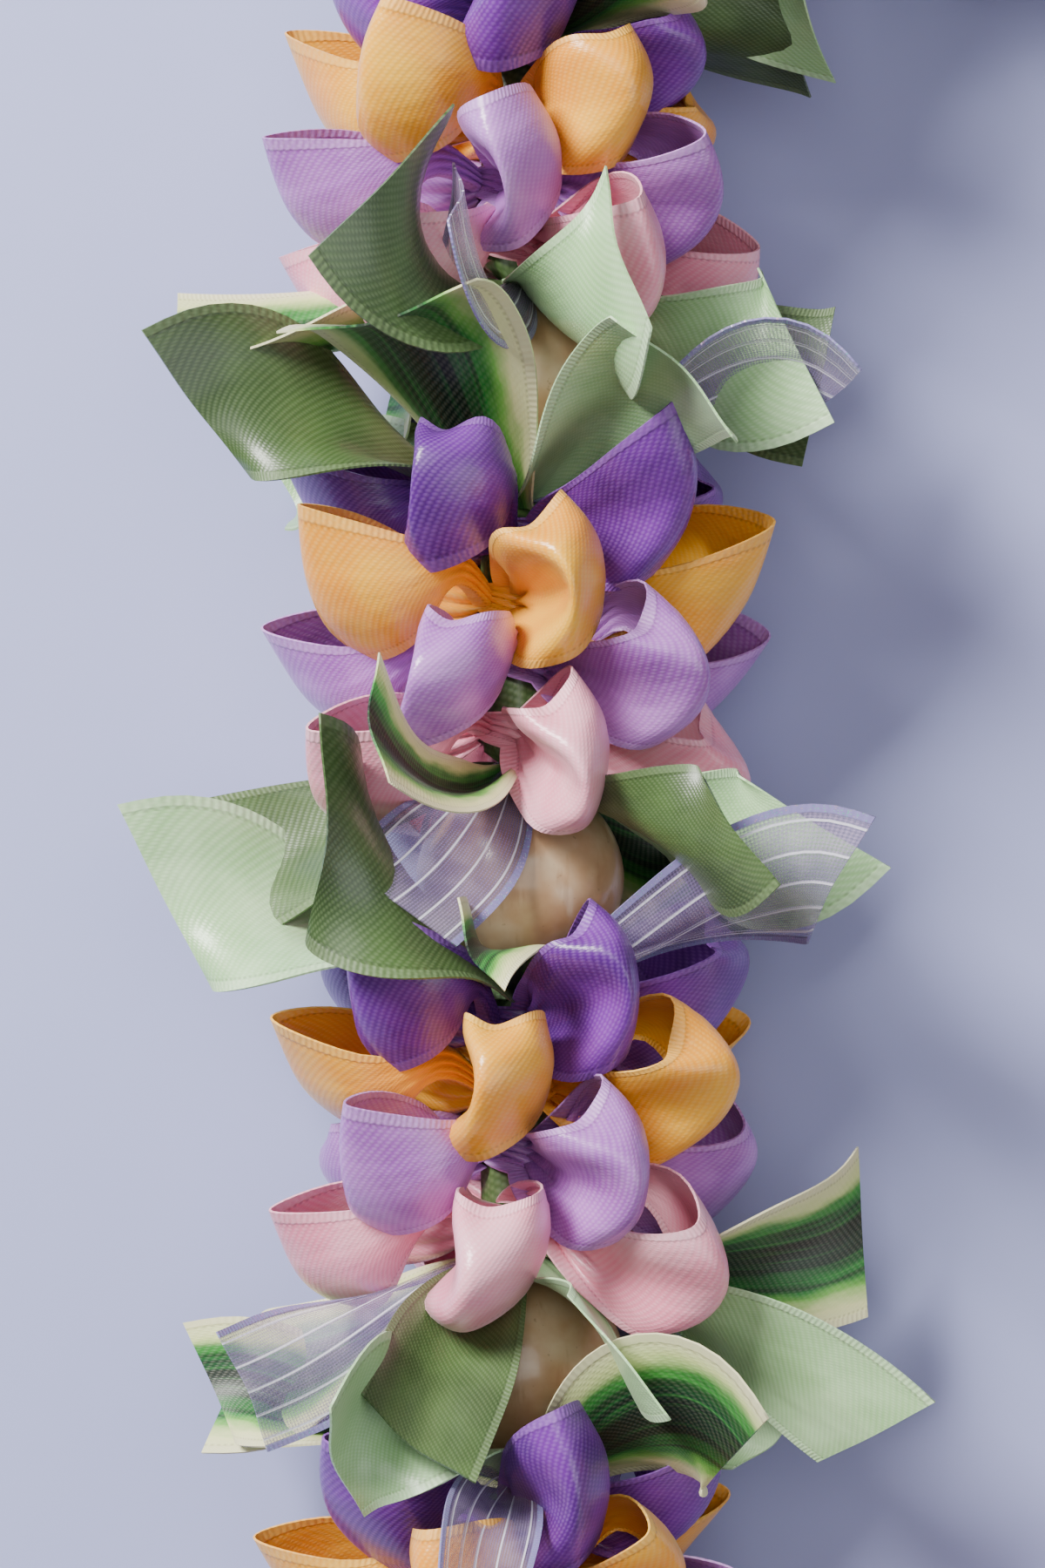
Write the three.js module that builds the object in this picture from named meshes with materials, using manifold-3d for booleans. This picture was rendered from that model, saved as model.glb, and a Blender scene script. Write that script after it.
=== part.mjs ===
// A lei of folded ribbon blooms and kukui nuts, threaded on one cord and laid in a long loop on
// its side. Millimetres, +Z up, resting on z = 0, with the origin under the middle of its box.
//
// Every bloom is four rings of petals on a gathered core, with a spray of ribbon leaves at each
// end. All of it is laid out along a straight strand first: x across the strand towards the
// inside of the loop, y along it, z up. bendToLoop then carries each point to its place.
import * as THREE from 'three';
import { mergeVertices } from 'three/addons/utils/BufferGeometryUtils.js';
import Module from 'manifold-3d';

const wasm = await Module();
wasm.setup();

// Driving dimensions
const BLOOM_COUNT = 12;
const BLOOM_LENGTH = 38;
const NUT_SPACE = 30;
const STRAIGHT_SIDE = 190;
const AXIS_HEIGHT = 29;
const CORD_RADIUS = 0.9;
const GAP = 0.3;
const CLOTH = 0.75;
const SIDES = 6;

const PITCH = BLOOM_LENGTH + NUT_SPACE;
const LOOP_LENGTH = PITCH * BLOOM_COUNT;
const END_RADIUS = (LOOP_LENGTH - 2 * STRAIGHT_SIDE) / (2 * Math.PI);
// The first straight side starts here, measured along the cord from its knot
const SIDE_START = 320;
// Where a bloom lies at a loop's end, what points inwards is pressed shorter by this share
const INNER_PRESS = 0.25;

// The core of each bloom: a sleeve round the cord, with the petal rings on it
const SLEEVE_BORE = CORD_RADIUS + 0.5;
const SLEEVE_RADIUS = 3.6;
const SLEEVE_END = 19.2;
const RING_BORE = SLEEVE_RADIUS + 0.4;
const RING_RADIUS = 6.4;
const RING_END = 17.3;
const ROW_PITCH = 9;
const LEAF_ROOT = 2.6;
const LEAF_KNOT = 18.4;

// The nuts
const NUT_RADIUS = 14.8;
const NUT_HALF_LENGTH = 14.2;
const NUT_BORE = CORD_RADIUS + 0.8;
const NUT_SIDES = 8;

// The knot that closes the cord
const KNOT_RADIUS = 2.6;
const CORD_END_LENGTH = 9;

// A petal is a loop of ribbon: points as [out from the strand, along it, sideways].
// Its mouth is the selvedge that stands open, and the other one is folded tight to a keel.
const ROOT = 4.3;
const PETAL_MOUTH = [[20, 8, -7.6], [31.5, 9, -5], [31.5, 8.4, 5], [20, 6.8, 7.6]];
const PETAL_WELL = [[20.6, 8, -6.4], [30.6, 9, -4.4], [30.6, 8.4, 4.4], [20.6, 6.8, 6.4]];
const PETAL_TIP = [24, -10, 0];
const PETAL_FLOOR = [21, -2, 0];
const PETAL_REACH = 31.5;

const COLOURS = {
  purple: { color: 0x7d4bab, roughness: 0.45 },
  gold: { color: 0xf0bd62, roughness: 0.45 },
  lilac: { color: 0xc79ad0, roughness: 0.45 },
  leaf: { color: 0x8aa878, roughness: 0.5 },
  nut: { color: 0xd2ad82, roughness: 0.35 },
  cord: { color: 0xe9e2d2, roughness: 0.7 },
};

// The four rows of a bloom from its top: colour, place along the bloom, and how far they lean
const ROWS = [
  { colour: 'purple', y: 1.5 * ROW_PITCH, lean: 15 },
  { colour: 'gold', y: 0.5 * ROW_PITCH, lean: 5 },
  { colour: 'lilac', y: -0.5 * ROW_PITCH, lean: -5 },
  { colour: 'pink', y: -1.5 * ROW_PITCH, lean: -15 },
];

// Turns of the petals round the strand in degrees, 0 up and 90 towards the inside of the loop.
// The four layouts follow each other down the strand.
const PETAL_TURNS = [
  { purple: [-78, -8, 64, 136, 208], gold: [-112, -42, 30, 100, 172],
    lilac: [-78, -6, 64, 136, 208], pink: [-112, -42, 34, 102, 172] },
  { purple: [-98, -28, 46, 118, 190], gold: [-62, 9, 83, 154, 226],
    lilac: [-98, -27, 48, 118, 190], pink: [-62, 14, 84, 154, 226] },
  { purple: [-48, 25, 97, 168, 240], gold: [-84, -11, 61, 132, 204],
    lilac: [-48, 27, 98, 168, 240], pink: [-84, -14, 59, 132, 204] },
  { purple: [-60, 12, 84, 156, 228], gold: [-96, -24, 50, 120, 192],
    lilac: [-60, 12, 86, 156, 228], pink: [-96, -24, 50, 120, 192] },
];

// The leaf ribbons of each layout: turn, end radius, rise towards the bloom's top, roll, width.
// Roll 0 sets the ribbon's width along the strand, and 90 sets it round the strand.
const LEAF_TURNS = [
  { top: [[-112, 42, 16, 15, 20], [-44, 40, 12, 20, 22], [-42, 34, 9, 45, 20],
    [21, 42, 18, 32, 26], [96, 46, 16, 20, 24], [168, 28, 8, 40, 18], [240, 32, 10, 10, 22]],
    bottom: [[-84, 46, -4, 66, 22], [-19, 41, 7, -27, 22], [-19, 43, 2, 5, 17], [19, 40, 2, 5, 22],
      [70, 44, -6, 10, 24], [88, 42, -8, 20, 22], [145, 34, -6, 20, 20], [208, 33, -8, 20, 22]] },
  { top: [[-128, 46, 6, 30, 22], [-64, 48, 12, -20, 25], [-29, 38, 21, 96, 28],
    [42, 42, 22, 95, 14], [74, 41, 14, 48, 10], [150, 38, 10, 20, 20]],
    bottom: [[-84, 40, -6, 20, 22], [-36, 32, -9, 30, 20], [-8, 40, 5, 0, 13],
      [36, 40, -13, -2, 20], [68, 43, -8, 8, 22], [136, 36, -8, 10, 20], [200, 31, -8, 30, 20]] },
  { top: [[-80, 50, 12, 5, 26], [-37, 43, 27, 18, 26], [-4, 32, 7, 40, 11], [61, 50, 18, 20, 18],
    [130, 38, 12, 10, 20], [200, 31, 8, 40, 20], [206, 38, 10, 10, 20]],
    bottom: [[-86, 39, -16, 22, 18], [-61, 45, -17, 12, 18], [-17, 37, -23, 45, 18],
      [27, 34, -10, 35, 19], [89, 49, 3, 17, 19], [87, 51, -25, 10, 20], [190, 30, -8, 30, 20]] },
  { top: [[-94, 44, 14, 20, 20], [-29, 41, 6, 5, 18], [-12, 46, -13, 28, 12], [42, 40, 6, 30, 20],
    [112, 48, 18, -20, 22], [124, 32, 6, 8, 14], [190, 31, 7, 20, 20]],
    bottom: [[-74, 48, -4, 20, 20], [-42, 40, -1, 25, 18], [10, 40, 1, 35, 16],
      [34, 42, -8, 15, 24], [100, 44, -10, 20, 24], [150, 34, -6, 20, 20], [219, 31, -8, 20, 22]] },
];

const radians = THREE.MathUtils.degToRad;
const smooth = THREE.MathUtils.smoothstep;

// A small seeded draw, the same on every run
function seededDraw(seed) {
  let state = seed;
  return () => {
    state = (state * 16807) % 2147483647;
    return state / 2147483647;
  };
}

// The cord's line in plan: two straight sides joined by half circles, run clockwise
function loopPlace(s) {
  const quarter = Math.PI * END_RADIUS;
  let q = (s - SIDE_START) % LOOP_LENGTH;
  if (q < 0) q += LOOP_LENGTH;
  const half = q >= STRAIGHT_SIDE + quarter;
  if (half) q -= STRAIGHT_SIDE + quarter;
  const turn = Math.max(0, q - STRAIGHT_SIDE) / END_RADIUS;
  const along = Math.min(q, STRAIGHT_SIDE) - STRAIGHT_SIDE / 2;
  const flip = half ? -1 : 1;
  return {
    x: flip * -END_RADIUS * Math.cos(turn),
    y: flip * (along + END_RADIUS * Math.sin(turn)),
    inX: flip * Math.cos(turn),
    inY: flip * -Math.sin(turn),
  };
}

// How sharply the strand bends at s, from 0 on the straight sides to 1 at the ends of the loop
function bendAt(s) {
  const half = LOOP_LENGTH / 2;
  let q = (s - SIDE_START) % half;
  if (q < 0) q += half;
  const soft = 15;
  return smooth(q, STRAIGHT_SIDE - soft, STRAIGHT_SIDE + soft) - smooth(q, half - soft, half + soft)
    + 1 - smooth(q, -soft, soft);
}

// Carries a point of the straight strand, rooted at s, to its place in the loop
function bendToLoop(s, point) {
  const bend = Math.min(1, bendAt(s)) / END_RADIUS;
  const along = point.y / (1 + bend * Math.max(0, -point.x));
  const place = loopPlace(s + along);
  return new THREE.Vector3(place.x + point.x * place.inX, place.y + point.x * place.inY,
    AXIS_HEIGHT + point.z);
}

// How far out something may reach at a turn: pressed at the floor, and inside a bend
function pressedReach(reach, turn, s) {
  const down = Math.max(0.05, -Math.cos(radians(turn)));
  const inward = Math.max(0, Math.sin(radians(turn))) * Math.min(1, bendAt(s));
  return Math.min(reach * (1 - INNER_PRESS * inward), (AXIS_HEIGHT + 0.5) / down);
}

function meshSolid(vertices, triangles) {
  return new wasm.Manifold(new wasm.Mesh({
    numProp: 3,
    vertProperties: new Float32Array(vertices.flatMap((v) => [v.x, v.y, v.z])),
    triVerts: new Uint32Array(triangles.flat()),
  }));
}

function geometrySolid(geometry) {
  geometry.deleteAttribute('normal');
  geometry.deleteAttribute('uv');
  const merged = mergeVertices(geometry, 1e-4);
  return new wasm.Manifold(new wasm.Mesh({
    numProp: 3,
    vertProperties: new Float32Array(merged.attributes.position.array),
    triVerts: new Uint32Array(merged.index.array),
  }));
}

function solidGeometry(solid) {
  const mesh = solid.getMesh();
  const geometry = new THREE.BufferGeometry();
  geometry.setAttribute('position', new THREE.BufferAttribute(mesh.vertProperties, 3));
  geometry.setIndex(new THREE.BufferAttribute(mesh.triVerts, 1));
  const flat = geometry.toNonIndexed();
  flat.computeVertexNormals();
  return flat;
}

// A turned solid round the strand, its profile as [radius, y] and bored for what it sits on
function turnedSolid(s, profile, sides) {
  const outline = profile.map(([radius, y]) => new THREE.Vector2(radius, y));
  const lathe = new THREE.LatheGeometry([...outline, outline[0]], sides);
  const position = lathe.attributes.position;
  for (let i = 0; i < position.count; i += 1) {
    const point = new THREE.Vector3().fromBufferAttribute(position, i);
    position.setXYZ(i, ...bendToLoop(s, point).toArray());
  }
  return geometrySolid(lathe);
}

// A bored sleeve, stepped finely enough to follow the cord where the loop bends
function sleeveSolid(s, bore, radius, bottom, top) {
  const bent = bendAt(s + bottom) + bendAt(s + top) > 0;
  const steps = bent ? Math.round((top - bottom) / ROW_PITCH) : 1;
  const profile = [];
  for (let i = 0; i <= steps; i += 1) profile.push([bore, top - (top - bottom) * i / steps]);
  for (let i = 0; i <= steps; i += 1) profile.push([radius, bottom + (top - bottom) * i / steps]);
  return turnedSolid(s, profile, SIDES);
}

// One petal, with its reach, opening, roll and lean
function petalSolid(s, turn, petal) {
  const out = new THREE.Vector3(Math.sin(radians(turn)), 0, Math.cos(radians(turn)));
  const side = new THREE.Vector3(-Math.cos(radians(turn)), 0, Math.sin(radians(turn)));
  const reach = pressedReach(petal.reach, turn, s);
  const stretch = (reach - ROOT) / (PETAL_REACH - ROOT);
  const place = ([r, along, across]) => {
    const outward = (r - ROOT) * stretch;
    const roll = radians(petal.roll) * smooth(r, ROOT, 20);
    const a = along * Math.cos(roll) - across * petal.open * Math.sin(roll);
    const t = along * Math.sin(roll) + across * petal.open * Math.cos(roll);
    const lean = radians(petal.lean);
    const point = out.clone().multiplyScalar(ROOT + outward * Math.cos(lean));
    point.addScaledVector(side, t);
    point.y = a + outward * Math.sin(lean);
    return bendToLoop(s, point);
  };
  const points = [[ROOT, 0, 0], ...PETAL_MOUTH, PETAL_TIP, ...PETAL_WELL, PETAL_FLOOR].map(place);
  const triangles = [[0, 1, 5], [4, 0, 5], [0, 4, 1]];
  for (let i = 1; i <= 4; i += 1) {
    const next = i % 4 + 1;
    if (i < 4) triangles.push([i, next, 5]);
    triangles.push([i, i + 5, next + 5], [i, next + 5, next], [i + 5, 10, next + 5]);
  }
  return meshSolid(points, triangles);
}

// One leaf ribbon: a strip that starts in the collar and fans out to its cut end
function leafSolid(s, away, [turn, reach, rise, roll, width]) {
  const out = new THREE.Vector3(Math.sin(radians(turn)), 0, Math.cos(radians(turn)));
  const side = new THREE.Vector3(-Math.cos(radians(turn)), 0, Math.sin(radians(turn)));
  const far = pressedReach(reach, turn, s);
  const along = new THREE.Vector3(0, 1, 0);
  const root = out.clone().multiplyScalar(LEAF_ROOT);
  const tip = out.clone().multiplyScalar(far).addScaledVector(along, rise);
  const path = new THREE.CubicBezierCurve3(root,
    out.clone().multiplyScalar(far * 0.3).addScaledVector(along, away * 2),
    out.clone().multiplyScalar(far * 0.75).addScaledVector(along, away * 8.5 + rise * 0.3), tip);
  const stations = Math.cos(radians(turn)) < 0.3 ? [0.5, 1] : [0.35, 0.7, 1];
  const points = [bendToLoop(s, root)];
  stations.forEach((u) => {
    const centre = path.getPointAt(u);
    const ahead = path.getTangentAt(u);
    const turned = radians(roll + (75 - roll) * (1 - smooth(u, 0.2, 1)));
    const across = along.clone().multiplyScalar(Math.cos(turned)).addScaledVector(side,
      Math.sin(turned));
    across.addScaledVector(ahead, -across.dot(ahead)).normalize();
    const face = ahead.clone().cross(across).normalize().multiplyScalar(CLOTH / 2);
    const half = across.multiplyScalar(width / 2 * smooth(u, -0.1, 0.9));
    [[1, 1], [1, -1], [-1, -1], [-1, 1]].forEach(([wide, thick]) => {
      const corner = centre.clone().addScaledVector(half, wide).addScaledVector(face, thick);
      points.push(bendToLoop(s, corner));
    });
  });
  const triangles = [[0, 1, 2], [0, 2, 3], [0, 3, 4], [0, 4, 1]];
  for (let i = 1; i + 7 < points.length; i += 4) {
    for (let k = 0; k < 4; k += 1) {
      const next = (k + 1) % 4;
      // The two faces are split along the same diagonal, so a twist doesn't drive them together
      if (k === 3) {
        triangles.push([i + k, i + 4 + k, i + next], [i + 4 + k, i + 4 + next, i + next]);
      } else {
        triangles.push([i + k, i + 4 + k, i + 4 + next], [i + k, i + 4 + next, i + next]);
      }
    }
  }
  const last = points.length - 4;
  triangles.push([last, last + 3, last + 2], [last, last + 2, last + 1]);
  return meshSolid(points, triangles);
}

// The union of some solids, cut off at the floor and without edges shorter than the tolerance
function joined(solids, tolerance = 0.015) {
  const floor = new THREE.BoxGeometry(600, 600, 20);
  floor.translate(0, 0, -10);
  return wasm.Manifold.union(solids).subtract(geometrySolid(floor)).simplify(tolerance);
}

function addMesh(name, solid, colour) {
  const mesh = new THREE.Mesh(solidGeometry(solid),
    new THREE.MeshStandardMaterial({ ...COLOURS[colour], metalness: 0 }));
  mesh.name = name;
  lei.add(mesh);
}

// A ring of gathered ribbon with the petals of one row or more growing from it
function petalRing(centre, layout, rows, draw) {
  const top = Math.min(rows[0].y + ROW_PITCH / 2 - GAP / 2, RING_END);
  const bottom = Math.max(rows.at(-1).y - ROW_PITCH / 2 + GAP / 2, -RING_END);
  const solids = [sleeveSolid(centre, RING_BORE, RING_RADIUS, bottom, top)];
  rows.forEach((row) => layout[row.colour].forEach((turn) => {
    const petal = {
      reach: 33.5 + 3 * draw(),
      open: 0.85 + 0.25 * draw(),
      roll: 8 * (draw() - 0.5),
      lean: row.lean + 4 * (draw() - 0.5),
    };
    solids.push(petalSolid(centre + row.y, turn, petal));
  }));
  return joined(solids);
}

// The sleeve of gathered leaf ribbon round the cord, with a spray at each end
function leafSprays(centre, layout) {
  const sleeve = sleeveSolid(centre, SLEEVE_BORE, SLEEVE_RADIUS, -SLEEVE_END, SLEEVE_END);
  const leaves = [...layout.top.map((leaf) => leafSolid(centre + LEAF_KNOT, 1, leaf)),
    ...layout.bottom.map((leaf) => leafSolid(centre - LEAF_KNOT, -1, leaf))];
  return joined([sleeve, ...leaves]);
}

// A smooth kukui nut, bored along the strand
function nutSolid(centre) {
  const profile = [];
  const steps = 5;
  const start = Math.asin(NUT_BORE / NUT_RADIUS);
  for (let i = 0; i <= steps; i += 1) {
    const angle = start + (Math.PI - 2 * start) * i / steps;
    profile.push([NUT_RADIUS * Math.sin(angle), -NUT_HALF_LENGTH * Math.cos(angle)]);
  }
  profile.push([NUT_BORE, 0]);
  return turnedSolid(centre, profile, NUT_SIDES);
}

// The cord, with the knot that closes it and its two short ends
function cordSolid() {
  const points = [];
  const count = 60;
  for (let i = 0; i <= count; i += 1) {
    points.push(bendToLoop(0.6 + (LOOP_LENGTH - 1.2) * i / count, new THREE.Vector3()));
  }
  const section = new THREE.Shape();
  section.absarc(0, 0, CORD_RADIUS, 0, 2 * Math.PI);
  const tube = (path, steps) => geometrySolid(new THREE.ExtrudeGeometry(section,
    { steps, extrudePath: path, curveSegments: 3 }));
  const knot = new THREE.SphereGeometry(KNOT_RADIUS, 6, 4);
  const middle = bendToLoop(0, new THREE.Vector3());
  knot.translate(middle.x, middle.y, middle.z);
  const ends = [-1, 1].map((way) => tube(new THREE.LineCurve3(middle,
    bendToLoop(way * CORD_END_LENGTH * 0.7, new THREE.Vector3(-CORD_END_LENGTH * 0.5, 0, 4))), 1));
  const strand = tube(new THREE.CatmullRomCurve3(points), count);
  return joined([strand, geometrySolid(knot), ...ends], 0.06);
}

const lei = new THREE.Group();
addMesh('cord', cordSolid(), 'cord');
for (let i = 0; i < BLOOM_COUNT; i += 1) {
  const number = String(i + 1).padStart(2, '0');
  const centre = PITCH * (i + 0.5);
  const layoutIndex = (BLOOM_COUNT + 7 - i) % 4;
  const petals = PETAL_TURNS[layoutIndex];
  const draw = seededDraw(101 + 37 * layoutIndex);
  addMesh(`petals_purple_${number}`, petalRing(centre, petals, [ROWS[0]], draw), 'purple');
  addMesh(`petals_gold_${number}`, petalRing(centre, petals, [ROWS[1]], draw), 'gold');
  addMesh(`petals_lilac_pink_${number}`, petalRing(centre, petals, ROWS.slice(2), draw), 'lilac');
  addMesh(`leaves_${number}`, leafSprays(centre, LEAF_TURNS[layoutIndex]), 'leaf');
  if (i > 0) addMesh(`nut_${String(i).padStart(2, '0')}`, nutSolid(PITCH * i), 'nut');
}

const box = new THREE.Box3().setFromObject(lei);
const middle = box.getCenter(new THREE.Vector3());
lei.position.set(-middle.x, -middle.y, -box.min.z);

export default lei;
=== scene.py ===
"""Dresses the ribbon lei: folded satin petals, ribbon leaves, kukui nuts and the cord.

Sizes are in millimetres until a point is carried to its place in the loop, which gives metres.
A strand point is [across the strand towards the loop's inside, along the strand, up].
"""

from __future__ import annotations

import logging
import math
from dataclasses import dataclass
from enum import Enum
from typing import Callable, Iterable, Sequence

import bmesh
import bpy
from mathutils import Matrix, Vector

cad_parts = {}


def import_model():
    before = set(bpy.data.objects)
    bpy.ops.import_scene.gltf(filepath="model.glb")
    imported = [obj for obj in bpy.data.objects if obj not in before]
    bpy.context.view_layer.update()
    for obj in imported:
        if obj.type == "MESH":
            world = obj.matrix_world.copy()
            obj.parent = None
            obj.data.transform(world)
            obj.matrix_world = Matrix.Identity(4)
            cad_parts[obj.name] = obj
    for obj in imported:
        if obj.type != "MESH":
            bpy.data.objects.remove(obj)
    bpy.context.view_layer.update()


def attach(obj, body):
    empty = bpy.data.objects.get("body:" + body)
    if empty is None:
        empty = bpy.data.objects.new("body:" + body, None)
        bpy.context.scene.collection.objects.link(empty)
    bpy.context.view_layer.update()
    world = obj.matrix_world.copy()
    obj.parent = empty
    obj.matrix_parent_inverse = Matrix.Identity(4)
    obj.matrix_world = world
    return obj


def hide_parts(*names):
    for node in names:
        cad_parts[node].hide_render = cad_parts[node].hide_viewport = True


log = logging.getLogger("ribbon_lei")

MM = 0.001
PETAL_WIDTH = 19.0
LEAF_WIDTH = 24.0
CLOTH = 0.32
CREASE = 4.0
UV_NAME = "ribbon"

Socket = bpy.types.NodeSocket
Node = bpy.types.Node
Pair = tuple[float, float]
Triple = tuple[float, float, float]
Stop = tuple[float, str]
Mesh = bmesh.types.BMesh
Draw = Callable[[], float]
Fold = Callable[[float, float], Vector]


def smoothstep(value: float, low: float, high: float) -> float:
    """Returns 0 below low and 1 above high, with a smooth step between."""
    t = min(1.0, max(0.0, (value - low) / (high - low)))
    return t * t * (3 - 2 * t)


def seeded_draw(seed: int) -> Draw:
    """Makes a small seeded draw, the same on every run.

    Args:
        seed: where the draw starts.

    Returns:
        A function that gives the next number from 0 to 1.
    """
    state = seed

    def draw() -> float:
        """Returns the next number."""
        nonlocal state
        state = state * 16807 % 2147483647
        return state / 2147483647

    return draw


def hex_colour(code: str) -> Triple:
    """Turns a colour as written on screen into the linear one that a shader takes."""
    parts = [int(code[i : i + 2], 16) / 255 for i in (0, 2, 4)]
    return tuple(c / 12.92 if c <= 0.04045 else ((c + 0.055) / 1.055) ** 2.4 for c in parts)


class Row(Enum):
    """The four rows of petals of a bloom, from its top."""

    PURPLE = "purple"
    GOLD = "gold"
    LILAC = "lilac"
    PINK = "pink"


class Cloth(Enum):
    """The ribbons that leaves are cut from."""

    MOSS = "moss"
    PALE = "pale"
    PRINT = "print"
    ORGANZA = "organza"


@dataclass(frozen=True)
class Strand:
    """The line of the cord: two straight sides joined by half circles, run clockwise."""

    blooms: int = 12
    pitch: float = 68.0
    straight: float = 190.0
    side_start: float = 320.0
    height: float = 29.0
    shift: Pair = (0.257, 1.954)
    soft: float = 15.0
    inner_press: float = 0.25

    @property
    def length(self) -> float:
        """Returns the cord's length round the loop."""
        return self.blooms * self.pitch

    @property
    def radius(self) -> float:
        """Returns the radius of the loop's ends."""
        return (self.length - 2 * self.straight) / (2 * math.pi)

    def bend(self, s: float) -> float:
        """Returns how sharply the strand bends at s, from 0 to 1."""
        half = self.length / 2
        q = (s - self.side_start) % half
        rise = smoothstep(q, self.straight - self.soft, self.straight + self.soft)
        fall = smoothstep(q, half - self.soft, half + self.soft)
        return min(1.0, rise - fall + 1 - smoothstep(q, -self.soft, self.soft))

    def carry(self, s: float, point: Vector) -> Vector:
        """Carries a strand point to its place in the loop.

        Args:
            s: where along the cord the point is rooted.
            point: the point beside the straight strand, in millimetres.

        Returns:
            The place in the model's frame, in metres.
        """
        along = point.y / (1 + self.bend(s) / self.radius * max(0.0, -point.x))
        quarter = math.pi * self.radius
        q = (s + along - self.side_start) % self.length
        flip = 1
        if q >= self.straight + quarter:
            q -= self.straight + quarter
            flip = -1
        turn = max(0.0, q - self.straight) / self.radius
        side = min(q, self.straight) - self.straight / 2
        reach = point.x - self.radius
        x = flip * reach * math.cos(turn)
        y = flip * (side - reach * math.sin(turn))
        return Vector((x + self.shift[0], y + self.shift[1], self.height + point.z)) * MM

    def pressed(self, reach: float, turn: float, s: float) -> float:
        """Returns how far out something may reach: pressed by the floor, and inside a bend."""
        down = max(0.05, -math.cos(math.radians(turn)))
        inward = max(0.0, math.sin(math.radians(turn))) * self.bend(s)
        return min(reach * (1 - self.inner_press * inward), (self.height + 0.2) / down)

    def rested(self, z: float) -> float:
        """Returns a height beside the strand, eased to lie on the table rather than dip into it."""
        low, soft = CLOTH - self.height, 1.6
        return z if z > low + soft else low + soft * math.exp((z - low - soft) / soft)


STRAND = Strand()


def directions(turn: float) -> tuple[Vector, Vector]:
    """Returns the directions outwards and sideways at a turn round the strand."""
    angle = math.radians(turn)
    out = Vector((math.sin(angle), 0, math.cos(angle)))
    return out, Vector((-math.cos(angle), 0, math.sin(angle)))


def spline(points: Sequence[Vector], u: float) -> Vector:
    """Runs a smooth curve through points.

    Args:
        points: the points, evenly spread over the curve.
        u: how far along it, from 0 to 1.

    Returns:
        The place on the curve.
    """
    last = len(points) - 1
    k = min(int(u * last), last - 1)
    t = u * last - k
    b, c = points[k], points[k + 1]
    a = points[k - 1] if k > 0 else b * 2 - c
    d = points[k + 2] if k + 2 <= last else c * 2 - b
    square, cube = 2 * a - 5 * b + 4 * c - d, 3 * b - a - 3 * c + d
    return 0.5 * (2 * b + (c - a) * t + square * t * t + cube * t ** 3)


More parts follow.
